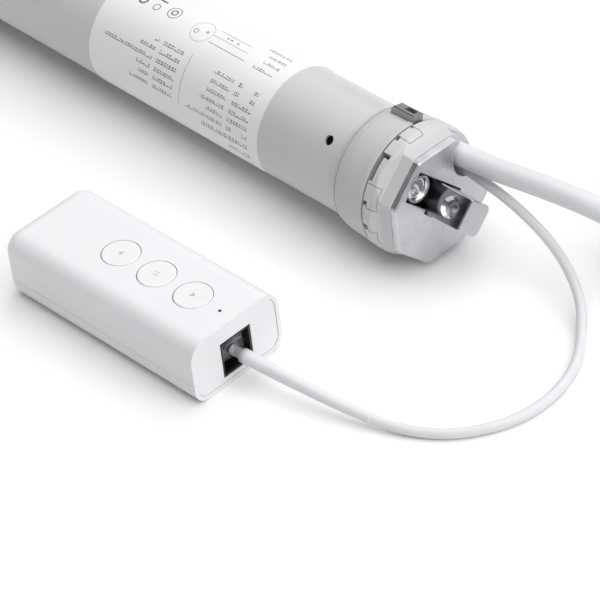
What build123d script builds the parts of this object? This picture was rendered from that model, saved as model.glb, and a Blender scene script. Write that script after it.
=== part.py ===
from build123d import *
import math
import os

# Tubular roller shutter motor, 35 mm size, lying on a flat surface with its wired three-button controller.
# Frame: origin on the motor axis at the outer face of the head plate. +X runs along the square stub, out of the
# head; the motor tube runs to -X. +Z is up. Everything rests on the surface at z = -REST.

# ---------- driving dimensions, mm ----------
REST = 20.0            # height of the motor axis over the surface
TUBE_R, TUBE_T = 17.5, 1.0
TUBE_X0, TUBE_X1 = -452.0, -26.3
LABEL_X0, LABEL_X1, LABEL_T = -131.7, -57.8, 0.14
HEAD_R, HEAD_APOTHEM = 20.0, 18.0
PLATE_T = 2.3
STUB, STUB_OUT = 9.8, 12.3
MODULE, Z_SUN, Z_PLANET, Z_RING = 0.5, 12, 21, 54
CENTRE = MODULE * (Z_SUN + Z_PLANET) / 2
SHAFT_R = 3.0
OUT_R = 7.0
BOX_LEN, BOX_W, BOX_H = 78.4, 33.4, 20.8
BOX_AT, BOX_YAW = (-38.39, -74.14), 1.391
BUTTON_R, BUTTON_PITCH, BUTTON_TRAVEL = 5.6, 14.62, 0.4
JACK_W, JACK_H, JACK_Z = 11.5, 12.1, 8.96
POWER_D, CONTROL_D, BOOT_D = 6.8, 3.0, 4.3
COIL_AT, COIL_R, COIL_TURNS = (70.0, 66.0), 37.5, 6

os.makedirs("parts", exist_ok=True)


def save(name, *solids):
    """One STEP file for one piece; several separate solids go in as a compound."""
    found = [s for part in solids for s in part.solids()]
    shape = found[0] if len(found) == 1 else Compound(children=found)
    export_step(shape, f"parts/{name}.step")


def cylx(r, x0, x1, y=0.0, z=0.0):
    return Pos(x0, y, z) * Rot(0, 90, 0) * Cylinder(r, x1 - x0, align=(Align.CENTER, Align.CENTER, Align.MIN))


def ringx(ro, ri, x0, x1, y=0.0, z=0.0):
    return cylx(ro, x0, x1, y, z) - cylx(ri, x0 - 1, x1 + 1, y, z)


def boxx(x0, x1, y0, y1, z0, z1):
    return Pos(x0, y0, z0) * Box(x1 - x0, y1 - y0, z1 - z0, align=(Align.MIN, Align.MIN, Align.MIN))


def prismx(points, x0, x1):
    """A polygon in the YZ plane, extruded along X."""
    return extrude(Plane.YZ.offset(x0) * make_face(Polyline(*points, close=True)), amount=x1 - x0)


def revx(points):
    """A profile of (x, radius) points turned about the X axis."""
    return revolve(make_face(Polyline(*[(x, r) for x, r in points], close=True)), Axis.X, 360)


def polar(r, degrees):
    a = math.radians(degrees)
    return (r * math.cos(a), r * math.sin(a))


def uv(u, v):
    """In the plate's plane: u runs down and to +Y, v runs down and to -Y."""
    s = math.sqrt(0.5)
    return ((u - v) * s, (-u - v) * s)


def octagon(apothem):
    return [polar(apothem / math.cos(math.radians(22.5)), 22.5 + 45 * i) for i in range(8)]


# ---------- gears: involute flanks in three points ----------
def gear_points(z, tip, root, slack, turned=0.0, inner=False):
    rp, a0 = MODULE * z / 2, math.radians(20)
    rb = rp * math.cos(a0)
    inv = lambda a: math.tan(a) - a

    def half(r):
        a = math.acos(min(1.0, rb / r))
        return math.pi / (2 * z) + inv(a0) - inv(a) + (slack if inner else -slack) / rp

    low, high = min(tip, root), max(tip, root)
    radii = [low] + [low + (high - low) * k for k in (0.34, 0.67)] + [high]
    out = []
    for i in range(z):
        c = math.radians(turned) + 2 * math.pi * i / z
        out += [(r * math.cos(c - half(max(r, rb))), r * math.sin(c - half(max(r, rb)))) for r in radii]
        out += [(r * math.cos(c + half(max(r, rb))), r * math.sin(c + half(max(r, rb)))) for r in reversed(radii)]
    return out


def sun(x0, x1, phase):
    rp = MODULE * Z_SUN / 2
    return prismx(gear_points(Z_SUN, rp + 0.44, rp - 0.62, 0.05, phase), x0, x1)


def planet(x0, x1, at):
    rp = MODULE * Z_PLANET / 2
    y, z = polar(CENTRE, at)
    gear = prismx([(a + y, b + z) for a, b in gear_points(Z_PLANET, rp + 0.44, rp - 0.62, 0.05, at)], x0, x1)
    return gear - cylx(2.0, x0 - 1, x1 + 1, y, z)


PLANETS_AT = (90.0, 210.0, 330.0)
STAGES = {1: (-357.0, -349.0), 2: (-375.0, -363.0), 3: (-400.0, -382.5)}


def carrier(plate_x0, plate_x1, pin_x1, r=12.4):
    c = cylx(r, plate_x0, plate_x1)
    for a in PLANETS_AT:
        y, z = polar(CENTRE, a)
        c += cylx(1.94, plate_x1 - 0.5, pin_x1, y, z)
    return c


# ================= motor tube =================
tube = ringx(TUBE_R, TUBE_R - TUBE_T, TUBE_X0, TUBE_X1)
HOLES = [(180 - 48, -32.4), (180 - 168, -32.4), (180 - 288, -32.4)]
TAIL = [(90, -445.0), (210, -445.0), (330, -445.0)]


def radial(r, x, angle, r0, r1):
    return Pos(x, 0, 0) * Rot(angle - 90, 0, 0) * Pos(0, 0, r0) * Cylinder(r, r1 - r0, align=(Align.CENTER, Align.CENTER, Align.MIN))


for a, x in HOLES:
    tube -= radial(1.55, x, a, 14, 19)
for a, x in TAIL:
    tube -= radial(1.6, x, a, 14, 19)
save("motor_tube", tube)

wrap = [(0, 0)] + [polar(40, a) for a in range(28, 243, 15)]
label = (ringx(TUBE_R + LABEL_T, TUBE_R, LABEL_X0, LABEL_X1)) & prismx(wrap, LABEL_X0 - 1, LABEL_X1 + 1)
save("rating_label", label)

save("tube_screws",
     *[radial(1.5, x, a, 15.2, 17.3) for a, x in TAIL],
     *[radial(1.45, x, a, 14.6, 16.3) for a, x in HOLES[1:]])

# ================= head =================
CUT = [(30, 30), (6.7, 30), (6.7, 17.6), (6.2, 14), (5.2, 10.6), (5.3, 8.0), (6.2, 5.9), (8.2, 4.0), (10.0, 3.1),
       (11.6, 2.9), (13.6, 0.4), (18.25, -7.2), (30, -7.2)]
CUT_PLASTIC = [(4.6, 10.6), (4.8, 7.8), (5.9, 5.6), (8.0, 3.7), (10.0, 2.8), (11.4, 2.6), (13.4, 0.1), (18.1, -7.4), (30, -7.4),
               (30, 30), (11.0, 30), (11.0, 14.7), (10.5, 14.0), (9.0, 13.95), (6.9, 13.5), (5.2, 12.3)]
WINDOW = [uv(-15.9, -5.3), uv(5.2, -5.3), uv(5.2, 5.25), uv(-5.6, 5.25), uv(-5.6, 4.0), uv(-15.9, 4.0)]
SCREW = uv(-12.5, -0.7)

plate = prismx(octagon(HEAD_APOTHEM), -PLATE_T, 0) & cylx(19.3, -PLATE_T, 0)
plate = chamfer(plate.faces().sort_by(Axis.X)[-1].edges(), 0.45)
plate -= prismx(CUT, -PLATE_T - 1, 1)
plate -= prismx(WINDOW, -PLATE_T - 1, 1)
plate -= cylx(4.35, -PLATE_T - 1, 1, *SCREW)
save("head_plate", plate)

stub_pts = [uv(-STUB / 2, -STUB / 2), uv(STUB / 2, -STUB / 2), uv(STUB / 2, STUB / 2), uv(-STUB / 2, STUB / 2)]
stub = prismx(stub_pts, -23.0, STUB_OUT)
far = [e for e in stub.edges().filter_by(Axis.X) if (e.center().Y - e.center().Z) / math.sqrt(2) > 4]
near = [e for e in stub.edges().filter_by(Axis.X) if (e.center().Y - e.center().Z) / math.sqrt(2) < -4]
stub = fillet(far, 1.9)
stub = fillet([e for e in stub.edges().filter_by(Axis.X) if (e.center().Y - e.center().Z) / math.sqrt(2) < -4], 0.5)
stub = chamfer(stub.faces().sort_by(Axis.X)[-1].edges(), 0.35)
side = Plane(origin=(6.7, *uv(-STUB / 2, 0)), x_dir=(1, 0, 0), z_dir=(0, *uv(-1, 0)))
stub -= side * Pos(0, 0, -6.5) * Cylinder(2.3, 8, align=(Align.CENTER, Align.CENTER, Align.MIN))
stub -= side * Pos(0, 0, -0.9) * Cone(2.3, 3.25, 0.91, align=(Align.CENTER, Align.CENTER, Align.MIN))
save("square_stub", stub)
grub = side * Pos(0, 0, -6.4) * Cylinder(2.25, 4.6, align=(Align.CENTER, Align.CENTER, Align.MIN))
grub -= side * Pos(0, 0, -3.4) * extrude(RegularPolygon(1.35, 6), amount=3)
save("stub_set_screw", grub)

torque = prismx([uv(-15.2, -5.2), uv(8.5, -5.2), uv(8.5, 5.2), uv(-15.2, 5.2)], -8.6, -6.7) - prismx(stub_pts, -9, -6)
torque -= cylx(1.5, -9, -6, *SCREW)
save("torque_plate", torque)
cup = ringx(4.2, 3.42, -6.7, -0.3, *SCREW) + ringx(4.2, 1.6, -6.7, -6.0, *SCREW)
save("screw_cup", cup)
screw = cylx(3.3, -3.1, -1.1, *SCREW) + cylx(1.5, -11.5, -3.1, *SCREW)
screw = fillet(screw.faces().sort_by(Axis.X)[-1].edges(), 0.7)
cross = boxx(-2.5, 0.0, -0.5, 0.5, -2.1, 2.1) + boxx(-2.5, 0.0, -2.1, 2.1, -0.5, 0.5)
screw -= Pos(0, *SCREW) * Rot(20, 0, 0) * cross
save("plate_screw", screw)

# cap: round skirt behind, octagon in front, open at the cable exit


def cap_shape(less):
    """The cap's outer shape, or the same shape a little smaller all round."""
    ramp = loft([Plane.YZ.offset(-9.6) * make_face(Polyline(*octagon(20.3 - less), close=True)),
                 Plane.YZ.offset(-6.2) * make_face(Polyline(*octagon(HEAD_APOTHEM + 0.25 - less), close=True))])
    flats = prismx(octagon(20.3 - less), -12.2, -9.6) + ramp + prismx(octagon(HEAD_APOTHEM + 0.25 - less), -6.2, -PLATE_T)
    r = HEAD_R - less
    return flats & revx([(-12.2, 0), (-12.2, r - 0.3), (-11.9, r), (-8.6, r), (-7.4, r - 0.25), (-2.6, r - 0.35), (-PLATE_T, r - 0.6), (-PLATE_T, 0)])


cap = cap_shape(0)
cap -= prismx(CUT_PLASTIC, -7.6, 0)
cap -= cylx(15.7, -13, -8.8)
cap -= prismx([uv(-16.1, -5.4), uv(8.7, -5.4), uv(8.7, 5.4), uv(-16.1, 5.4)], -8.8, 0)
cap -= cylx(4.4, -6.8, 0, *SCREW)
OPENING = [(5.6, 5.0), (8.2, 2.4), (13.4, 1.9), (15.1, 4.4), (15.1, 9.2), (13.5, 11.6), (12.5, 12.85), (10.8, 14.1), (7.0, 14.5), (5.2, 12.6)]
cap -= prismx(OPENING, -9, -7)
# snap windows and the gaps beside the snap tabs


def wedge(a0, a1, x0, x1, r0, r1=22.0):
    pts = [polar(r0, a0), polar(r1, a0), polar(r1, (a0 + a1) / 2), polar(r1, a1), polar(r0, a1)]
    return prismx(pts, x0, x1)


# angles from +Y towards +Z; the seen side is at 80..200 degrees
for a0, a1, x0, x1 in ((84.5, 87.5, -12.3, -11.0), (100, 105, -12.3, -10.9), (118.5, 144.5, -12.3, -10.7),
                       (118.5, 122.5, -10.8, -9.0), (161.5, 166.5, -12.3, -10.5), (184, 190, -12.3, -10.3),
                       (222, 247, -12.3, -10.7), (262, 267, -12.3, -10.6), (284, 289, -12.3, -10.6), (322, 347, -12.3, -10.7)):
    cap -= wedge(a0, a1, x0, x1, 15.0)
# parting lines round the snap tabs, 0.3 mm deep
skin = cap_shape(-0.5) - cap_shape(0.3)
for a0, a1, x0, x1 in ((146.2, 147.1, -12.3, -6.9), (166.5, 167.4, -10.6, -6.9), (146.2, 167.4, -7.1, -6.85),
                       (100.6, 101.5, -10.6, -7.4), (84.5, 101.5, -7.6, -7.35), (84.5, 85.4, -11.1, -7.35),
                       (189.5, 190.4, -10.6, -7.4), (189.5, 212, -7.6, -7.35), (211.2, 212, -12.3, -7.35)):
    cap -= skin & wedge(a0, a1, x0, x1, 16.0)
save("head_cap", cap)

core = cylx(15.5, -26.0, -9.0) + cylx(TUBE_R - TUBE_T - 0.03, -52.0, -26.0)
core -= cylx(12.2, -53, -12.4)
core -= prismx([uv(-5.1, -5.1), uv(5.1, -5.1), uv(5.1, 5.1), uv(-5.1, 5.1)], -13, -8)
core += prismx([uv(-8, -8), uv(8, -8), uv(8, 8), uv(-8, 8)], -24.0, -12.0) & cylx(12.3, -24, -12)
core -= prismx([uv(-4.95, -4.95), uv(4.95, -4.95), uv(4.95, 4.95), uv(-4.95, 4.95)], -25, -8)
core -= prismx([(6.6, 6.0), (9.0, 3.4), (12.6, 3.0), (12.6, 10.0), (9.5, 12.0), (6.6, 12.0)], -25, -8)
core -= cylx(1.55, -12.2, -8, *SCREW)
for a, x in HOLES:
    core -= radial(1.5, x, a, 14.5, 17)
save("head_core", core)

GROM = [(6.0, 5.4), (8.4, 2.8), (13.2, 2.3), (14.7, 4.6), (14.7, 9.0), (13.2, 11.4), (12.2, 12.55), (10.5, 13.75), (7.2, 14.1), (5.6, 12.4)]
grommet = prismx(GROM, -8.8, -7.9)
grommet -= cylx(POWER_D / 2, -10, -7, 9.4, 10.0)
grommet -= cylx(CONTROL_D / 2, -10, -7, 11.3, 4.7)
save("cable_grommet", grommet)

# ================= crown (idler ring) =================
crown = revx([(-25.9, 15.56), (-25.9, 17.95), (-25.5, 18.4), (-25.05, 18.5), (-24.85, 18.1), (-24.4, 18.15), (-24.2, 18.85), (-22.0, 19.3), (-19.0, 19.5), (-14.6, 19.6),
              (-14.4, 19.85), (-13.0, 19.9), (-12.75, 19.7), (-12.75, 15.56)])
KEY_AT = 75.5
key_slot = Rot(KEY_AT - 90, 0, 0) * boxx(-21.9, -12.5, -1.9, 1.9, 17.6, 23)
crown -= key_slot
for i in range(4):
    y, z = polar(16.75, 35 + 90 * i)
    crown -= cylx(0.92, -26.5, -23.0, y, z)
save("crown_ring", crown)
key = boxx(-21.8, -12.8, -1.8, 1.8, 17.7, 22.0)
key = fillet(key.edges().filter_by(Axis.X).group_by(Axis.Z)[-1], 0.6)
key -= boxx(-17.6, -13.9, -1.0, 1.0, 19.4, 23)
key -= Pos(-21.8, 0, 22.0) * Rot(0, 45, 0) * Box(1.6, 6, 1.6)
save("crown_key", Rot(KEY_AT - 90, 0, 0) * key)
save("crown_magnets", *[cylx(0.9, -25.8, -23.1, *polar(16.75, 35 + 90 * i)) for i in range(4)])

# ================= electronics in the tube =================
board = boxx(-118, -55, -14.0, 14.0, -4.0, -2.4)
board += boxx(-72, -58, -9, 9, -2.4, 8.5) + boxx(-88, -77, -11, -1, -2.4, 7.0) + boxx(-88, -77, 1, 11, -2.4, 7.0)
board += Pos(-98, 0, -2.4) * Cylinder(5, 11, align=(Align.CENTER, Align.CENTER, Align.MIN))
board += boxx(-114, -106, -10, 10, -2.4, 1.0)
save("limit_board", board)
cap_can = cylx(14.0, -172, -122)
cap_can = fillet(cap_can.edges(), 1.2)
save("capacitor", cap_can + cylx(1.6, -121.9 - 0.2, -119, 4, 0) + cylx(1.6, -121.9 - 0.2, -119, -4, 0))

# ================= brake =================
coil = ringx(15.0, 5.5, -200.0, -180.0) - ringx(12.2, 8.0, -200.5, -198.5)
save("brake_coil", coil)
save("brake_armature", ringx(13.5, 4.5, -203.05, -200.55))
save("brake_disc", ringx(12.0, SHAFT_R, -206.2, -203.15))

# ================= induction motor =================
SLOTS = [30 * i for i in range(12)]
stator = ringx(16.4, 8.6, -322, -222)
windings = ringx(15.0, 9.6, -221.8, -216.0) + ringx(15.0, 9.6, -328.0, -322.2)
for a in SLOTS:
    slot = Rot(a, 0, 0) * boxx(-330, -215, -1.55, 1.55, 9.9, 14.2)
    stator -= slot
    windings += Rot(a, 0, 0) * boxx(-325, -218, -1.35, 1.35, 10.1, 14.0)
save("stator_core", stator)
save("stator_windings", windings)
bells = ringx(16.45, 4.0, -215.6, -209.0) - cylx(6.5, -215.7, -210.6)
bells2 = ringx(16.45, 4.0, -341.0, -330.0) - cylx(6.5, -335.4, -329.9)
save("motor_end_bells", bells, bells2)
save("rotor_bearings", ringx(6.5, SHAFT_R + 0.03, -215.6, -210.6), ringx(6.5, SHAFT_R + 0.03, -335.4, -330.4))
save("rotor_core", ringx(8.25, SHAFT_R, -318, -226))
save("rotor_shaft", cylx(SHAFT_R, -347.0, -203.15) + cylx(2.3, -349, -346.5) + sun(-357.2, -348.8, 90))

# ================= three-stage planetary gearbox =================
ring_pts = gear_points(Z_RING, MODULE * Z_RING / 2 + 0.62, MODULE * Z_RING / 2 - 0.44, 0.05, 90, inner=True)
ring = cylx(16.4, -409.0, -343.0) - prismx(ring_pts, -410, -342)
ring -= cylx(MODULE * Z_RING / 2 - 0.44, -410, -342)
save("ring_gear", ring)
save("carrier_1", carrier(-360.6, -357.6, -348.6) + sun(-375.2, -360.4, 90))
save("carrier_2", carrier(-379.6, -375.8, -362.6) + sun(-400.2, -379.4, 90))
shaft = carrier(-407.0, -400.9, -382.2) + cylx(OUT_R, -455.0, -406.8)
shaft += boxx(-480.0, -454.9, -4.9, 4.9, -4.9, 4.9) & cylx(6.6, -481, -454)
shaft -= ringx(8, 4.3, -477.2, -476.0)
save("output_shaft", shaft)
for stage, (x0, x1) in STAGES.items():
    for i, a in enumerate(PLANETS_AT):
        save(f"planet_{stage}_{'abc'[i]}", planet(x0, x1, a))
bearing = ringx(16.45, OUT_R + 0.05, -440.0, -413.0)
bearing += ringx(16.45, OUT_R + 0.05, -452.0, -439.9) + ringx(17.4, OUT_R + 0.05, -453.6, -452.0)
for a, x in TAIL:
    bearing -= radial(1.5, x, a, 15.0, 18)
save("output_bearing", bearing)

# ================= drive wheel =================
wheel = revx([(-474.6, 8.5), (-474.6, 19.6), (-474.2, 20.0), (-457.4, 20.0), (-457.0, 19.6), (-457.0, 16.6), (-464.0, 16.6),
              (-464.0, 10.0), (-456.0, 10.0), (-456.0, 8.5)])
wheel += ringx(8.6, 3.0, -475.4, -456.0)
wheel -= boxx(-480, -450, -4.95, 4.95, -4.95, 4.95)
for a in (0, 180):
    wheel -= Rot(a, 0, 0) * boxx(-480, -450, -2.2, 2.2, 17.8, 22)
for a in range(30, 360, 60):
    wheel -= cylx(2.3, -480, -450, *polar(13.3, a))
save("drive_wheel", wheel)
save("wheel_clip", ringx(8.2, 4.35, -477.0, -476.1) - boxx(-478, -475, 0, 9, -3.2, 3.2))

# ================= wired controller =================
BOX = Pos(BOX_AT[0], BOX_AT[1], -REST) * Rot(0, 0, BOX_YAW)
L0, L1 = 30.37 - BOX_LEN, 30.37


def section(inset):
    """Controller cross-section in the YZ plane: wide shoulders above, tighter corners below."""
    w, h = BOX_W / 2 - inset, BOX_H - 2 * inset
    s = Pos(0, BOX_H / 2) * Rectangle(2 * w, h)
    top = s.vertices().group_by(Axis.Y)[-1]
    low = s.vertices().group_by(Axis.Y)[0]
    s = fillet(top, 6.0 - inset)
    s = fillet(s.vertices().group_by(Axis.Y)[0], 5.0 - inset)
    return s


def body(inset, l0, l1):
    return extrude(Plane.YZ.offset(l0) * section(inset), amount=l1 - l0)


outer = body(0.0, L0, L1)
outer = fillet(outer.faces().sort_by(Axis.X)[0].edges(), 4.6)
inner = body(1.3, L0 + 1.7, L1 + 1)
shell = outer - inner
SEAM = 6.9
top = shell & boxx(L0 - 1, L1 + 1, -20, 20, SEAM + 0.06, 30)
base = shell & boxx(L0 - 1, L1 + 1, -20, 20, -1, SEAM - 0.06)
BUTTONS = {"button_up": -BUTTON_PITCH, "button_pause": 0.0, "button_down": BUTTON_PITCH}
for l in BUTTONS.values():
    top -= Pos(l, 0, 21) * Cylinder(BUTTON_R + 0.2, 6)
LED_L = 25.2
top -= Pos(LED_L, 0, 20) * Cylinder(0.55, 4)
SCREWS = [(-40.0, 0.0), (8.0, 0.0)]
UP = (Align.CENTER, Align.CENTER, Align.MIN)
for l, w in SCREWS:
    base += Pos(l, w, 0.5) * Cylinder(3.4, 5.6, align=UP)
    base -= Pos(l, w, -1) * Cylinder(2.2, 2.5, align=UP)
    base -= Pos(l, w, 0) * Cylinder(1.05, 5.0, align=UP)
save("controller_top", BOX * top)
save("controller_base", BOX * base)
for name, l in BUTTONS.items():
    cap_ = Pos(l, 0, 18.0) * Cylinder(BUTTON_R, BOX_H + 0.12 - 18.0, align=UP)
    cap_ = fillet(cap_.faces().sort_by(Axis.Z)[-1].edges(), 0.35)
    cap_ += Pos(l, 0, 17.8) * Cylinder(6.6, 1.0, align=UP)
    cap_ += Pos(l, 0, 17.72) * Cylinder(1.2, 0.3, align=UP)
    save(name, BOX * cap_)
save("tact_switches", *[BOX * (Pos(l, 0, 16.75) * Cylinder(2.4, 0.5, align=UP)) for l in BUTTONS.values()])
pcb = boxx(L0 + 4, 28.0, -11.0, 11.0, 15.95, 16.75)
pcb += boxx(-38, -28, -5, 5, 13.5, 15.96) + boxx(-14, -4, -4, 4, 14.2, 15.96) + boxx(-24, -20, -8, -2, 14.0, 15.96)
save("controller_board", BOX * pcb)
save("status_light", BOX * (Pos(LED_L, 0, 16.8) * Cylinder(0.5, BOX_H - 16.8 - 0.02, align=UP)))
save("controller_screws", *[BOX * (Pos(l, w, 0.3) * Cylinder(2.0, 1.15, align=UP) + Pos(l, w, 1.4) * Cylinder(1.0, 3.4, align=UP)) for l, w in SCREWS])
panel = extrude(Plane.YZ.offset(L1 - 1.9) * section(1.42), amount=1.7)
panel -= boxx(0, 40, -JACK_W / 2, JACK_W / 2, JACK_Z - JACK_H / 2, JACK_Z + JACK_H / 2)
save("end_panel", BOX * panel)
jack = boxx(13.0, L1 - 2.0, -7.0, 7.0, JACK_Z - JACK_H / 2 - 0.9, JACK_Z + JACK_H / 2 + 0.9)
jack += boxx(20.0, L1 - 0.3, 0.04 - JACK_W / 2, JACK_W / 2 - 0.04, JACK_Z - JACK_H / 2 + 0.04, JACK_Z + JACK_H / 2 - 0.04)
jack -= boxx(14.4, 40, 0.75 - JACK_W / 2, JACK_W / 2 - 0.75, JACK_Z - JACK_H / 2 + 0.75, JACK_Z + JACK_H / 2 - 0.75)
save("jack_housing", BOX * jack)
PLUG_Z = JACK_Z - 0.4
plug = boxx(15.5, 27.4, -4.83, 4.83, PLUG_Z - 3.3, PLUG_Z + 3.3)
plug -= boxx(15.6, 20.0, -4.2, 4.2, PLUG_Z + 2.2, PLUG_Z + 3.4)
plug += boxx(16.5, 28.6, -1.7, 1.7, PLUG_Z + 3.2, PLUG_Z + 4.5)
plug += boxx(25.6, 28.9, -3.2, 3.2, PLUG_Z + 2.6, PLUG_Z + 3.3)
plug += Pos(26.0, 0.15, PLUG_Z - 0.1) * Rot(0, 90, 0) * Cylinder(CONTROL_D / 2, 7.0, align=(Align.CENTER, Align.CENTER, Align.MIN))
save("modular_plug", BOX * plug)

# ================= cords =================
def route(points, diameter, name):
    """A tube of straight runs joined by tangent arcs, one arc at each corner."""
    p = [Vector(*q) for q in points]
    radii = []
    for a, b, c in zip(p, p[1:], p[2:]):
        turn = (b - a).get_angle(c - b)
        radii.append(0.45 * min((b - a).length, (c - b).length) / math.tan(math.radians(turn) / 2))
    line = FilletPolyline(*points, radius=radii)
    start = Plane(origin=points[0], z_dir=(p[1] - p[0]).normalized())
    tube = sweep(start * Circle(diameter / 2), path=line)
    want = math.pi * diameter ** 2 / 4 * line.length
    print(name, "length", round(line.length, 1), "radii", [round(r, 1) for r in radii], "volume ratio", round(tube.volume / want, 4))
    return tube


CONTROL = [(-7.9, 11.3, 4.7), (8.0, 9.6, 5.0), (22.2, 9.2, 2.1), (34.6, 9.9, -5.6), (44.0, 7.9, -15.0), (52.7, -0.7, -18.4),
           (61.1, -12.0, -18.5), (65.0, -25.8, -18.5), (63.6, -40.0, -18.5), (55.6, -53.2, -18.5), (44.8, -60.8, -18.4),
           (33.5, -65.1, -16.9)]
BOOT = [(33.5, -65.1, -16.9), (18.7, -69.3, -14.0), (5.0, -72.0, -12.1), (-6.4, -73.15, -11.6)]
POWER = [(-7.9, 9.4, 10.0), (8.0, 10.2, 10.3), (24.0, 13.2, 10.4), (40.0, 16.6, 9.4), (55.0, 20.8, 5.6), (70.0, 26.0, -0.6)]
save("control_cable", route(CONTROL, CONTROL_D, "control_cable"))
power = route(POWER, POWER_D, "power_cable")
bp = [Vector(*q) for q in BOOT]
sizes = [CONTROL_D / 2 + 0.05, 1.85, 2.1, BOOT_D / 2]
faces = []
for i, q in enumerate(bp):
    d = (bp[min(i + 1, 3)] - bp[max(i - 1, 0)]).normalized()
    faces.append(Plane(origin=q, z_dir=d) * Circle(sizes[i]))
boot = loft(faces)
save("control_cable_boot", boot)
cx, cy = COIL_AT
bundle = Pos(0, 0, 0) * (Pos(cx, cy, -REST) * Cylinder(COIL_R + POWER_D, 3 * POWER_D, align=(Align.CENTER, Align.CENTER, Align.MIN)))
bundle -= Pos(cx, cy, -REST - 1) * Cylinder(COIL_R - POWER_D, 3 * POWER_D + 2, align=(Align.CENTER, Align.CENTER, Align.MIN))
bundle = fillet(bundle.edges(), 2.0)
save("power_cable_coil", bundle)
core_z = -REST + POWER_D / 2
EXIT = 113.0           # where the lead leaves the coil, degrees round the coil's centre
out = Vector(*[c * (COIL_R + POWER_D / 2) for c in polar(1, EXIT)], 0) + Vector(cx, cy, core_z)
ahead = Vector(-math.sin(math.radians(EXIT)), math.cos(math.radians(EXIT)), 0)
aside = Vector(-ahead.Y, ahead.X, 0)
straight = Plane(origin=out + ahead * 20.5, z_dir=ahead) * Cylinder(POWER_D / 2, 10.5, align=(Align.CENTER, Align.CENTER, Align.MIN))
cores = []
for off, up, fan in ((-1.7, -1.0, -4.0), (1.7, -1.0, 4.0), (0.0, 1.9, 0.4)):
    a = out + ahead * 30.0 + aside * off + Vector(0, 0, up)
    b = out + ahead * 58.0 + aside * (off + fan) + Vector(0, 0, min(up, 0.4) - 0.6)
    cores.append(Plane(origin=a, z_dir=(b - a).normalized()) * Cylinder(1.1, (b - a).length, align=(Align.CENTER, Align.CENTER, Align.MIN)))
save("power_cores", *cores)
save("power_cable", power, straight)
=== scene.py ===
import bpy, bmesh, math, random
import numpy as np
from mathutils import Vector, Matrix


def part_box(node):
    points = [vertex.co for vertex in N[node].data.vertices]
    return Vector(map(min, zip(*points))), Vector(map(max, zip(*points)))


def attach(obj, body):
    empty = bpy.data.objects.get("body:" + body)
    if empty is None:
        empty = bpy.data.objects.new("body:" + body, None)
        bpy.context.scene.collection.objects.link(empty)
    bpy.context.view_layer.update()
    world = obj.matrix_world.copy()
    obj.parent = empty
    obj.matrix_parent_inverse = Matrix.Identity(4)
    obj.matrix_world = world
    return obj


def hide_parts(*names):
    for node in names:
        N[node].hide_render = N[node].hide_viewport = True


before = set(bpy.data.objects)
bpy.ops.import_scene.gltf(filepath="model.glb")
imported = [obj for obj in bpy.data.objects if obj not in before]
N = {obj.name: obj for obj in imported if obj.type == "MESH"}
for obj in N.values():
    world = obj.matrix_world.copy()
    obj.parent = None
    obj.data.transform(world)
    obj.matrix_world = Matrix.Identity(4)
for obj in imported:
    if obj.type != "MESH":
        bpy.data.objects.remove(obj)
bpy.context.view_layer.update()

MM = 0.001
scene = bpy.context.scene
random.seed(7)

# ------------------------------------------------------------------ camera
AZ, EL, ROLL = math.radians(50.723), math.radians(39.921), math.radians(-7.072)
back = Vector((math.sin(AZ) * math.cos(EL), -math.cos(AZ) * math.cos(EL), math.sin(EL)))
xr = Vector((0, 0, 1)).cross(back).normalized()
yu = back.cross(xr)
right = math.cos(ROLL) * xr + math.sin(ROLL) * yu
up = -math.sin(ROLL) * xr + math.cos(ROLL) * yu
cam_data = bpy.data.cameras.new("camera")
cam_data.lens, cam_data.sensor_width, cam_data.sensor_fit = 203.174, 36.0, "HORIZONTAL"
cam_data.clip_start, cam_data.clip_end = 0.05, 20
cam = bpy.data.objects.new("camera", cam_data)
scene.collection.objects.link(cam)
cam.matrix_world = Matrix(((right.x, up.x, back.x, 0.548321), (right.y, up.y, back.y, -0.50426),
                           (right.z, up.z, back.z, 0.592943), (0, 0, 0, 1)))
scene.camera = cam


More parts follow.
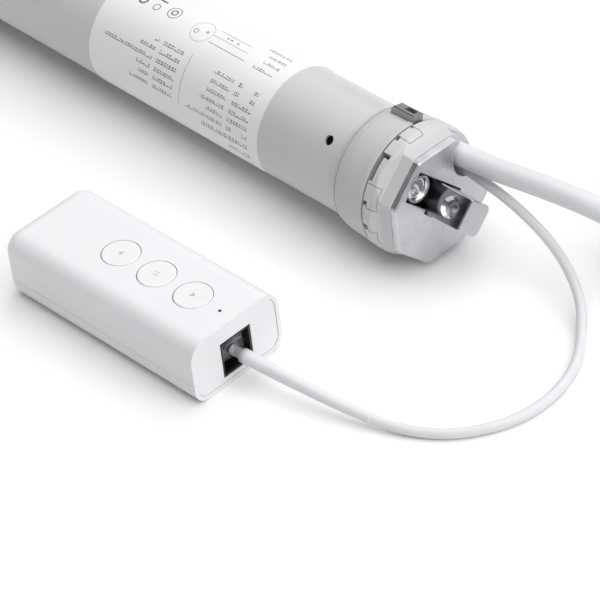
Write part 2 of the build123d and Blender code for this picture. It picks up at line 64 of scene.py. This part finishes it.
# ------------------------------------------------------------------ materials
def material(name, color, rough=0.5, metallic=0.0, vary=0.04, vary_scale=60.0, rough_vary=0.08, grain=900.0, bump=0.15,
             bump_mm=0.02, coat=0.0, coat_rough=0.2, transmission=0.0, ior=1.45, sss=0.0, sss_mm=1.0, stretch=(1, 1, 1),
             dark=None, soft_scale=14.0, specular=0.5, alpha=1.0):
    """A procedural finish: broad and fine colour variation, uneven roughness, and a fine surface texture."""
    m = bpy.data.materials.new(name)
    m.use_nodes = True
    t, nodes, link = m.node_tree, m.node_tree.nodes, m.node_tree.links
    b = nodes["Principled BSDF"]
    co = nodes.new("ShaderNodeTexCoord")
    mp = nodes.new("ShaderNodeMapping")
    mp.inputs["Scale"].default_value = stretch
    link.new(co.outputs["Object"], mp.inputs["Vector"])

    def noise(scale, detail, rough_=0.55):
        n = nodes.new("ShaderNodeTexNoise")
        n.inputs["Scale"].default_value, n.inputs["Detail"].default_value, n.inputs["Roughness"].default_value = scale, detail, rough_
        link.new(mp.outputs["Vector"], n.inputs["Vector"])
        return n

    broad, mid, fine = noise(soft_scale, 3), noise(vary_scale, 6), noise(grain, 4)
    add = nodes.new("ShaderNodeMath")
    add.operation = "ADD"
    link.new(broad.outputs["Fac"], add.inputs[0])
    link.new(mid.outputs["Fac"], add.inputs[1])
    ramp = nodes.new("ShaderNodeMapRange")
    ramp.inputs["From Min"].default_value, ramp.inputs["From Max"].default_value = 0.7, 1.3
    link.new(add.outputs[0], ramp.inputs["Value"])
    mix = nodes.new("ShaderNodeMix")
    mix.data_type = "RGBA"
    lo = tuple(max(0, c * (1 - vary)) for c in (dark or color)) + (1,)
    hi = tuple(min(1, c * (1 + vary)) for c in color) + (1,)
    mix.inputs["A"].default_value, mix.inputs["B"].default_value = lo, hi
    link.new(ramp.outputs["Result"], mix.inputs["Factor"])
    link.new(mix.outputs["Result"], b.inputs["Base Color"])
    rr = nodes.new("ShaderNodeMapRange")
    rr.inputs["From Min"].default_value, rr.inputs["From Max"].default_value = 0.3, 0.7
    rr.inputs["To Min"].default_value, rr.inputs["To Max"].default_value = max(0.03, rough - rough_vary), min(1, rough + rough_vary)
    link.new(mid.outputs["Fac"], rr.inputs["Value"])
    link.new(rr.outputs["Result"], b.inputs["Roughness"])
    bp = nodes.new("ShaderNodeBump")
    bp.inputs["Strength"].default_value, bp.inputs["Distance"].default_value = bump, bump_mm * MM
    link.new(fine.outputs["Fac"], bp.inputs["Height"])
    link.new(bp.outputs["Normal"], b.inputs["Normal"])
    b.inputs["Metallic"].default_value = metallic
    b.inputs["IOR"].default_value = ior
    b.inputs["Specular IOR Level"].default_value = specular
    b.inputs["Coat Weight"].default_value, b.inputs["Coat Roughness"].default_value = coat, coat_rough
    b.inputs["Transmission Weight"].default_value = transmission
    if sss:
        b.inputs["Subsurface Weight"].default_value = sss
        b.inputs["Subsurface Scale"].default_value = sss_mm * MM
    b.inputs["Alpha"].default_value = alpha
    return m


M = {
    "tube": material("tube_coat", (0.59, 0.59, 0.59), 0.42, vary=0.03, vary_scale=25, grain=1500, bump=0.25, bump_mm=0.015, coat=0.15, coat_rough=0.35),
    "label": material("label_film", (0.83, 0.832, 0.85), 0.45, vary=0.015, vary_scale=40, grain=2500, bump=0.08, coat=0.2, coat_rough=0.3),
    "ink": material("label_ink", (0.19, 0.19, 0.195), 0.6, vary=0.25, vary_scale=900),
    "head": material("head_moulding", (0.585, 0.585, 0.593), 0.5, vary=0.035, vary_scale=45, grain=2200, bump=0.35, bump_mm=0.02),
    "crown": material("crown_moulding", (0.55, 0.55, 0.552), 0.48, vary=0.035, vary_scale=45, grain=2200, bump=0.35, bump_mm=0.02),
    # Near-black; on the head core this colour is painted shade for the inside of the head, seen through the gaps and
    # the window.
    "dark": material("dark_moulding_and_painted_shade", (0.03, 0.03, 0.032), 0.42, vary=0.2, vary_scale=200, grain=1800, bump=0.4),
    "key": material("key_moulding", (0.36, 0.36, 0.36), 0.27, metallic=0.7, vary=0.12, vary_scale=300, grain=1800, bump=0.4),
    "zinc": material("zinc_plate", (0.58, 0.59, 0.62), 0.34, metallic=0.85, vary=0.10, vary_scale=140, rough_vary=0.12, grain=1600, bump=0.3, bump_mm=0.01, soft_scale=55),
    # Near-black; on the torque plate this colour is painted shade for the pocket behind the head plate's window.
    "black_steel_and_shade": material("black_steel_and_painted_shade", (0.02, 0.02, 0.022), 0.3, metallic=0.7, vary=0.3, vary_scale=300, grain=1500, bump=0.4),
    "bright": material("bright_screw", (0.88, 0.88, 0.9), 0.2, metallic=1.0, vary=0.08, vary_scale=400, grain=2500, bump=0.3),
    "stub": material("stub_steel", (0.54, 0.545, 0.56), 0.17, metallic=1.0, vary=0.06, vary_scale=300, rough_vary=0.05, grain=2500, bump=0.2, bump_mm=0.006),
    "gear": material("gear_steel", (0.5, 0.5, 0.52), 0.3, metallic=1.0, vary=0.08, vary_scale=300, grain=2500, bump=0.3),
    "lamination": material("laminations", (0.3, 0.3, 0.32), 0.45, metallic=0.9, vary=0.15, vary_scale=30, grain=3000, bump=0.8, stretch=(6, 1, 1)),
    "copper": material("enamelled_copper", (0.62, 0.25, 0.1), 0.3, metallic=0.9, vary=0.2, vary_scale=200, grain=2500, bump=0.9, stretch=(1, 4, 4)),
    "can": material("drawn_aluminium", (0.7, 0.71, 0.73), 0.33, metallic=1.0, vary=0.05, vary_scale=120, grain=2200, bump=0.3, stretch=(0.2, 3, 3)),
    "cast": material("die_cast", (0.55, 0.55, 0.57), 0.5, metallic=0.9, vary=0.1, vary_scale=160, grain=1500, bump=0.7, bump_mm=0.04),
    "magnet": material("sintered_magnet", (0.06, 0.06, 0.065), 0.5, metallic=0.5, vary=0.2, vary_scale=400, grain=2500, bump=0.6),
    "board": material("board_mask", (0.02, 0.14, 0.06), 0.35, vary=0.2, vary_scale=300, grain=900, bump=0.5, coat=0.3),
    "white": material("controller_shell", (0.79, 0.788, 0.81), 0.33, vary=0.012, vary_scale=30, rough_vary=0.05, grain=2600, bump=0.12, bump_mm=0.01, coat=0.25, coat_rough=0.25, sss=0.08, sss_mm=0.6),
    "button": material("button_face", (0.80, 0.80, 0.815), 0.3, vary=0.012, vary_scale=60, rough_vary=0.05, grain=2600, bump=0.15, bump_mm=0.01, coat=0.25, coat_rough=0.2, sss=0.08, sss_mm=0.6),
    "icon": material("icon_print", (0.5, 0.5, 0.51), 0.5, vary=0.15, vary_scale=900),
    "jack": material("jack_moulding", (0.006, 0.006, 0.007), 0.35, vary=0.3, vary_scale=300, grain=1500, bump=0.3),
    "clear": material("clear_plug", (0.9, 0.93, 0.95), 0.08, vary=0.02, transmission=0.9, ior=1.5, rough_vary=0.03, grain=600, bump=0.1),
    "gold": material("gold_contacts", (0.9, 0.65, 0.25), 0.2, metallic=1.0, vary=0.08, vary_scale=700),
    "sheath": material("cable_sheath", (0.70, 0.703, 0.725), 0.42, vary=0.025, vary_scale=120, grain=1600, bump=0.35, bump_mm=0.03, coat=0.1, coat_rough=0.4, sss=0.1, sss_mm=0.8),
    "brown": material("core_brown", (0.16, 0.06, 0.025), 0.4, vary=0.15, vary_scale=300),
    "blue": material("core_blue", (0.02, 0.1, 0.45), 0.4, vary=0.15, vary_scale=300),
    "green": material("core_green_yellow", (0.12, 0.42, 0.05), 0.4, vary=0.6, vary_scale=150, dark=(0.6, 0.55, 0.03)),
}

LOOK = {
    "tube": ["motor_tube"], "label": ["rating_label"], "head": ["head_cap"], "crown": ["crown_ring", "drive_wheel"],
    "dark": ["cable_grommet", "status_light", "head_core"], "key": ["crown_key"], "zinc": ["head_plate"],
    "black_steel_and_shade": ["torque_plate", "tube_screws", "controller_screws", "brake_disc"],
    "bright": ["screw_cup", "plate_screw", "rotor_bearings", "wheel_clip", "tact_switches"],
    "gear": ["ring_gear", "rotor_shaft", "carrier_1", "carrier_2", "output_shaft", "brake_armature", "stub_set_screw"]
            + [f"planet_{s}_{c}" for s in "123" for c in "abc"],
    "stub": ["square_stub"],
    "lamination": ["stator_core", "rotor_core"], "copper": ["stator_windings", "brake_coil"], "can": ["capacitor"],
    "cast": ["motor_end_bells", "output_bearing"], "magnet": ["crown_magnets"], "board": ["limit_board", "controller_board"],
    "white": ["controller_top", "controller_base", "end_panel"], "button": ["button_up", "button_pause", "button_down"],
    "jack": ["jack_housing"], "clear": ["modular_plug"], "sheath": ["power_cable", "power_cable_coil", "control_cable", "control_cable_boot"],
    "brown": ["power_cores"],
}


def dress(o, *mats):
    o.data.materials.clear()
    for m in mats:
        o.data.materials.append(m)


for key, names in LOOK.items():
    for n in names:
        dress(N[n], M[key])


def add(name, verts, faces, mats, body, slot, smooth=True):
    me = bpy.data.meshes.new(name)
    me.from_pydata([tuple(v) for v in verts], [], [tuple(f) for f in faces])
    me.validate()
    me.update()
    o = bpy.data.objects.new(name, me)
    scene.collection.objects.link(o)
    dress(o, *mats)
    if smooth:
        me.polygons.foreach_set("use_smooth", [True] * len(me.polygons))
    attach(o, body)
    return o


# ------------------------------------------------------------------ cords
def nurbs(name, points, diameter, mat):
    c = bpy.data.curves.new(name, "CURVE")
    c.dimensions = "3D"
    c.bevel_depth, c.bevel_resolution, c.resolution_u = diameter / 2, 8, 12
    c.use_fill_caps = True
    s = c.splines.new("NURBS")
    s.points.add(len(points) - 1)
    for p, q in zip(s.points, points):
        p.co = (q[0] * MM, q[1] * MM, q[2] * MM, 1)
    s.order_u = 3
    s.use_endpoint_u = True
    o = bpy.data.objects.new(name, c)
    scene.collection.objects.link(o)
    c.materials.append(mat)
    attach(o, "root")
    return o


def line_of(o):
    """The points that a curve's own spline follows, in metres."""
    bare = bpy.data.objects.new("bare", o.data.copy())
    bare.data.bevel_depth = 0
    mesh = bpy.data.meshes.new_from_object(bare)
    pts = [v.co.copy() for v in mesh.vertices]
    bpy.data.meshes.remove(mesh)
    bpy.data.curves.remove(bare.data)
    return pts


def tube_along(name, pts, radii, mat, body, slot, sides=40, cap=True):
    """A tube with its own radius at each point, carried along without twist."""
    verts, faces = [], []
    t = [(pts[min(i + 1, len(pts) - 1)] - pts[max(i - 1, 0)]).normalized() for i in range(len(pts))]
    n = t[0].orthogonal().normalized()
    for i, p in enumerate(pts):
        n = (n - t[i] * n.dot(t[i])).normalized()
        b = t[i].cross(n)
        for k in range(sides):
            a = 2 * math.pi * k / sides
            verts.append(p + (n * math.cos(a) + b * math.sin(a)) * radii[i])
    for i in range(len(pts) - 1):
        for k in range(sides):
            a, c = i * sides + k, i * sides + (k + 1) % sides
            faces.append((a, c, c + sides, a + sides))
    if cap:
        faces.append(tuple(reversed(range(sides))))
        faces.append(tuple(range((len(pts) - 1) * sides, len(pts) * sides)))
    return add(name, verts, faces, [mat], body, slot)


POWER = [(-7.9, 9.4, 10.0), (8.0, 10.2, 10.3), (24.0, 13.2, 10.4), (40.0, 16.6, 9.4), (55.0, 20.8, 5.6), (70.0, 26.0, -0.6)]
COIL_AT, COIL_R, PD = (70.0, 66.0), 37.5, 6.8
Z0 = -20.0
slots = [(COIL_R + 3.4, Z0 + 17.0), (COIL_R - 3.4, Z0 + 17.0), (COIL_R - 3.4, Z0 + 10.2), (COIL_R - 3.4, Z0 + 3.4),
         (COIL_R + 3.4, Z0 + 3.4), (COIL_R + 3.4, Z0 + 10.2)]
step = 22.5
route = list(POWER[:-1])
angle, stop = -74.0, -67.0 + 330.0
turn_points = []
for k, (r, z) in enumerate(slots):
    end = -67.0 + 330.0 * (k + 1)
    while angle < end - 8:
        turn_points.append((angle, r, z))
        angle += step
for a, r, z in turn_points:
    r = r * 1.0097 + 0.12 * math.sin(a * 1.7)
    route.append((COIL_AT[0] + r * math.cos(math.radians(a)), COIL_AT[1] + r * math.sin(math.radians(a)), z))
EX = math.radians(113.0)
e0 = Vector((COIL_AT[0] + (COIL_R + 3.4) * math.cos(EX), COIL_AT[1] + (COIL_R + 3.4) * math.sin(EX), 0))
ed = Vector((-math.sin(EX), math.cos(EX), 0))
for along, z in ((4.0, Z0 + 9.6), (16.0, Z0 + 4.4), (24.0, Z0 + 3.4), (31.0, Z0 + 3.4)):
    q = e0 + ed * along
    route.append((q.x, q.y, z))
power = nurbs("power_lead", route, PD * MM, M["sheath"])
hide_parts("power_cable", "power_cable_coil")

# three insulated cores, each ending in a ferrule
core_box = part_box("power_cores")
sheath_end = e0 + ed * 31.0
side = Vector((-ed.y, ed.x, 0))
for name, off, z1, fan, mat in (("core_brown", -1.7, -1.0, -5.0, "brown"), ("core_blue", 1.7, -1.0, 5.0, "blue"), ("core_earth", 0.0, 1.9, 0.5, "green")):
    pts = []
    for i in range(15):
        s = i / 14
        q = sheath_end + ed * (s * 22.0 - 0.5) + side * (off + fan * s * s)
        pts.append(Vector((q.x, q.y, Z0 + 3.4 + z1 - (z1 + 2.2) * s * s * (3 - 2 * s))) * MM)
    tube_along(name, pts, [1.1 * MM] * 15, M[mat], "root", "core_insulation", 20)
    d = (pts[-1] - pts[-3]).normalized()
    fp = [pts[-1] + d * (x * MM) for x in (-3.0, -2.8, 0.0, 0.3, 5.6, 5.8)]
    tube_along(name + "_ferrule", fp, [x * MM for x in (1.35, 1.42, 1.3, 0.8, 0.78, 0.6)], M["bright"], "root", "bright_steel", 20)
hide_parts("power_cores")

CONTROL = [(-7.9, 11.3, 4.7), (8.0, 9.6, 5.0), (22.2, 9.2, 2.1), (34.6, 9.9, -5.6), (44.0, 7.9, -15.0), (52.7, -0.7, -18.4),
           (61.1, -12.0, -18.5), (65.0, -25.8, -18.5), (63.6, -40.0, -18.5), (55.6, -53.2, -18.5), (44.8, -60.8, -18.4),
           (33.5, -65.1, -16.9), (18.7, -69.3, -14.0), (3.2, -72.3, -11.9), (-10.2, -73.44, -11.5)]
control = nurbs("control_lead", CONTROL, 3.0 * MM, M["sheath"])
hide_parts("control_cable")
cl = line_of(control)
seg = [0.0]
for a, b in zip(cl[::-1], cl[::-1][1:]):
    seg.append(seg[-1] + (b - a).length)
tail = [(s - 0.0024, p) for s, p in zip(seg, cl[::-1]) if 0.0024 < s < 0.047]
pts = [p for _, p in tail]
radii = []
for s, _ in tail:
    t = s / tail[-1][0]
    r = 2.15 + (1.56 - 2.15) * (t ** 1.15)
    radii.append((max(1.54, r) - (0.5 * (1 - s / 0.0007) if s < 0.0007 else 0)) * MM)
boot = tube_along("control_boot", pts, radii, M["sheath"], "root", "cable_sheath", 40)
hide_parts("control_cable_boot")

# ------------------------------------------------------------------ printed label, in dashes
LR = 17.5 + 0.14 + 0.012


def on_tube(x, a, r=LR):
    """x in mm along the motor, a in degrees up from the -Y side."""
    return Vector((x, -r * math.cos(math.radians(a)), r * math.sin(math.radians(a)))) * MM


def LX(px):
    return 13 - px / 1600 * 79 - 68.3


def LA(py):
    return -25 + py / 900 * 150


lv, lf = [], []


def patch(x0, x1, a0, a1, lift=0.0):
    n = max(1, int(abs(a1 - a0) / 1.5) + 1)
    base = len(lv)
    for i in range(n + 1):
        a = a0 + (a1 - a0) * i / n
        lv.append(on_tube(x0, a, LR + lift))
        lv.append(on_tube(x1, a, LR + lift))
    for i in range(n):
        k = base + 2 * i
        lf.append((k, k + 1, k + 3, k + 2))


def dashes(x0, x1, y, h, gap=5):
    x = x0
    while x < x1 - 4:
        w = min(random.choice((9, 13, 17, 22)), x1 - x)
        top, low = y - h / 2 + random.uniform(0, 3), y + h / 2 - random.uniform(0, 3)
        patch(LX(x), LX(x + w), LA(top), LA(top + (low - top) * 0.34))
        if random.random() < 0.75:
            patch(LX(x + 1), LX(x + w - 2), LA(top + (low - top) * 0.62), LA(low))
        x += w + gap


dashes(140, 325, 60, 34, 7)
dashes(140, 540, 130, 30, 7)
for i, y in enumerate((195, 250, 302, 355, 410, 465)):
    if i in (0, 4, 5):
        dashes(140, 182, y, 24), dashes(275, 317, y, 24)
    else:
        dashes(140, 315, y, 24)
    dashes(355, (670, 500, 560, 525, 515, 525)[i], y, 22)
    dashes(795, 970, y, 24)
    dashes(1010, (1180, 1105, 1130, 1435, 1140, 1045)[i], y, 22)
patch(LX(729), LX(732), LA(180), LA(490))
for y, x1 in ((600, 315), (655, 285), (710, 290), (768, 345)):
    dashes(150, x1, y, 20)
patch(LX(390), LX(700), LA(598), LA(602))
patch(LX(420), LX(720), LA(653), LA(656))
patch(LX(440), LX(700), LA(708), LA(711))
for x in (520, 575, 605):
    patch(LX(x), LX(x + 16), LA(676), LA(686))


def ring_mark(px, py, r_mm, w_mm):
    base, n = len(lv), 40
    for i in range(n):
        a = 2 * math.pi * i / n
        for r in (r_mm, r_mm - w_mm):
            lv.append(on_tube(LX(px) + r * math.cos(a), LA(py) + math.degrees(r * math.sin(a) / 17.6)))
    for i in range(n):
        k, j = base + 2 * i, base + 2 * ((i + 1) % n)
        lf.append((k, k + 1, j + 1, j))


ring_mark(795, 640, 4.0, 0.12)
ring_mark(760, 650, 0.5, 0.3)
ring_mark(835, 625, 0.9, 0.25)
ring_mark(1065, 660, 2.4, 0.3)
ring_mark(1065, 660, 1.2, 0.5)
ring_mark(1200, 635, 1.3, 0.3)
patch(LX(1170), LX(1230), LA(692), LA(706))
ring_mark(1320, 640, 1.7, 0.7)
prints = add("label_print", lv, lf, [M["ink"]], "root", "dark_plastic", smooth=False)

# ------------------------------------------------------------------ button icons
YAW = math.radians(1.391)


def on_box(l, w, z):
    return Vector((-38.39 + l * math.cos(YAW) - w * math.sin(YAW), -74.14 + l * math.sin(YAW) + w * math.cos(YAW), z - 20.0)) * MM


def icon(name, polygons, l, body):
    v, f = [], []
    for poly in polygons:
        base = len(v)
        for z in (20.93, 20.95):
            v += [on_box(l + a, b, z) for a, b in poly]
        n = len(poly)
        f.append(tuple(base + n + i for i in range(n)))
        f += [(base + i, base + (i + 1) % n, base + n + (i + 1) % n, base + n + i) for i in range(n)]
    return add(name, v, f, [M["icon"]], body, "dark_plastic", smooth=False)


TRI = [(0.95, 0.0), (-0.65, 0.95), (-0.65, -0.95)]
icon("icon_up", [[(-a, b) for a, b in TRI][::-1]], -14.62, "up_button")
icon("icon_pause", [[(-0.9, -0.75), (0.9, -0.75), (0.9, -0.4), (-0.9, -0.4)], [(-0.9, 0.4), (0.9, 0.4), (0.9, 0.75), (-0.9, 0.75)]], 0.0, "pause_button")
icon("icon_down", [TRI], 14.62, "down_button")

# ------------------------------------------------------------------ studio
fm = material("studio_floor", (0.93, 0.93, 0.93), 0.75, vary=0.004, vary_scale=8, grain=300, bump=0.02)
me = bpy.data.meshes.new("floor")
me.from_pydata([(-4, -4, 0), (4, -4, 0), (4, 4, 0), (-4, 4, 0)], [], [(0, 1, 2, 3)])
floor = bpy.data.objects.new("floor", me)
floor.location.z = Z0 * MM - 0.00005
scene.collection.objects.link(floor)
me.materials.append(fm)

world = bpy.data.worlds.new("world")
scene.world = world
world.use_nodes = True
bg = world.node_tree.nodes["Background"]
bg.inputs["Color"].default_value = (1.0, 1.0, 1.0, 1)
wn, wl = world.node_tree.nodes, world.node_tree.links
way, split, sky = wn.new("ShaderNodeTexCoord"), wn.new("ShaderNodeSeparateXYZ"), wn.new("ShaderNodeMapRange")
sky.inputs["From Min"].default_value, sky.inputs["From Max"].default_value = 0.1, 1.0
sky.inputs["To Min"].default_value, sky.inputs["To Max"].default_value = 0.12, 0.72
wl.new(way.outputs["Generated"], split.inputs["Vector"])
wl.new(split.outputs["Z"], sky.inputs["Value"])
shade, dim, mul = wn.new("ShaderNodeVectorMath"), wn.new("ShaderNodeMapRange"), wn.new("ShaderNodeMath")
shade.operation, mul.operation = "DOT_PRODUCT", "MULTIPLY"
shade.inputs[1].default_value = Vector((-0.63, -0.52, 0.58)).normalized()
dim.inputs["From Min"].default_value, dim.inputs["From Max"].default_value = 0.80, 0.97
dim.inputs["To Min"].default_value, dim.inputs["To Max"].default_value = 1.0, 0.06
wl.new(way.outputs["Generated"], shade.inputs[0])
wl.new(shade.outputs["Value"], dim.inputs["Value"])
wl.new(sky.outputs["Result"], mul.inputs[0])
wl.new(dim.outputs["Result"], mul.inputs[1])
wl.new(mul.outputs[0], bg.inputs["Strength"])


def area(name, place, target, size, power, color=(1, 1, 1)):
    d = bpy.data.lights.new(name, "AREA")
    d.shape, d.size, d.size_y, d.energy, d.color = "RECTANGLE", size[0], size[1], power, color
    o = bpy.data.objects.new(name, d)
    o.location = place
    o.rotation_euler = (Vector(target) - Vector(place)).to_track_quat("-Z", "Y").to_euler()
    scene.collection.objects.link(o)


area("top", (0.75, 0.28, 1.9), (0.75, 0.0, 0), (3.9, 2.6), 44)
area("back", (-0.5, 1.1, 0.9), (-0.1, -0.02, 0), (0.9, 0.6), 3.5)
area("side", (1.25, 0.25, 0.55), (0.0, 0.0, 0), (0.8, 0.8), 5)
scene.view_settings.view_transform = "Standard"
scene.view_settings.look = "None"
scene.view_settings.exposure = 0.0
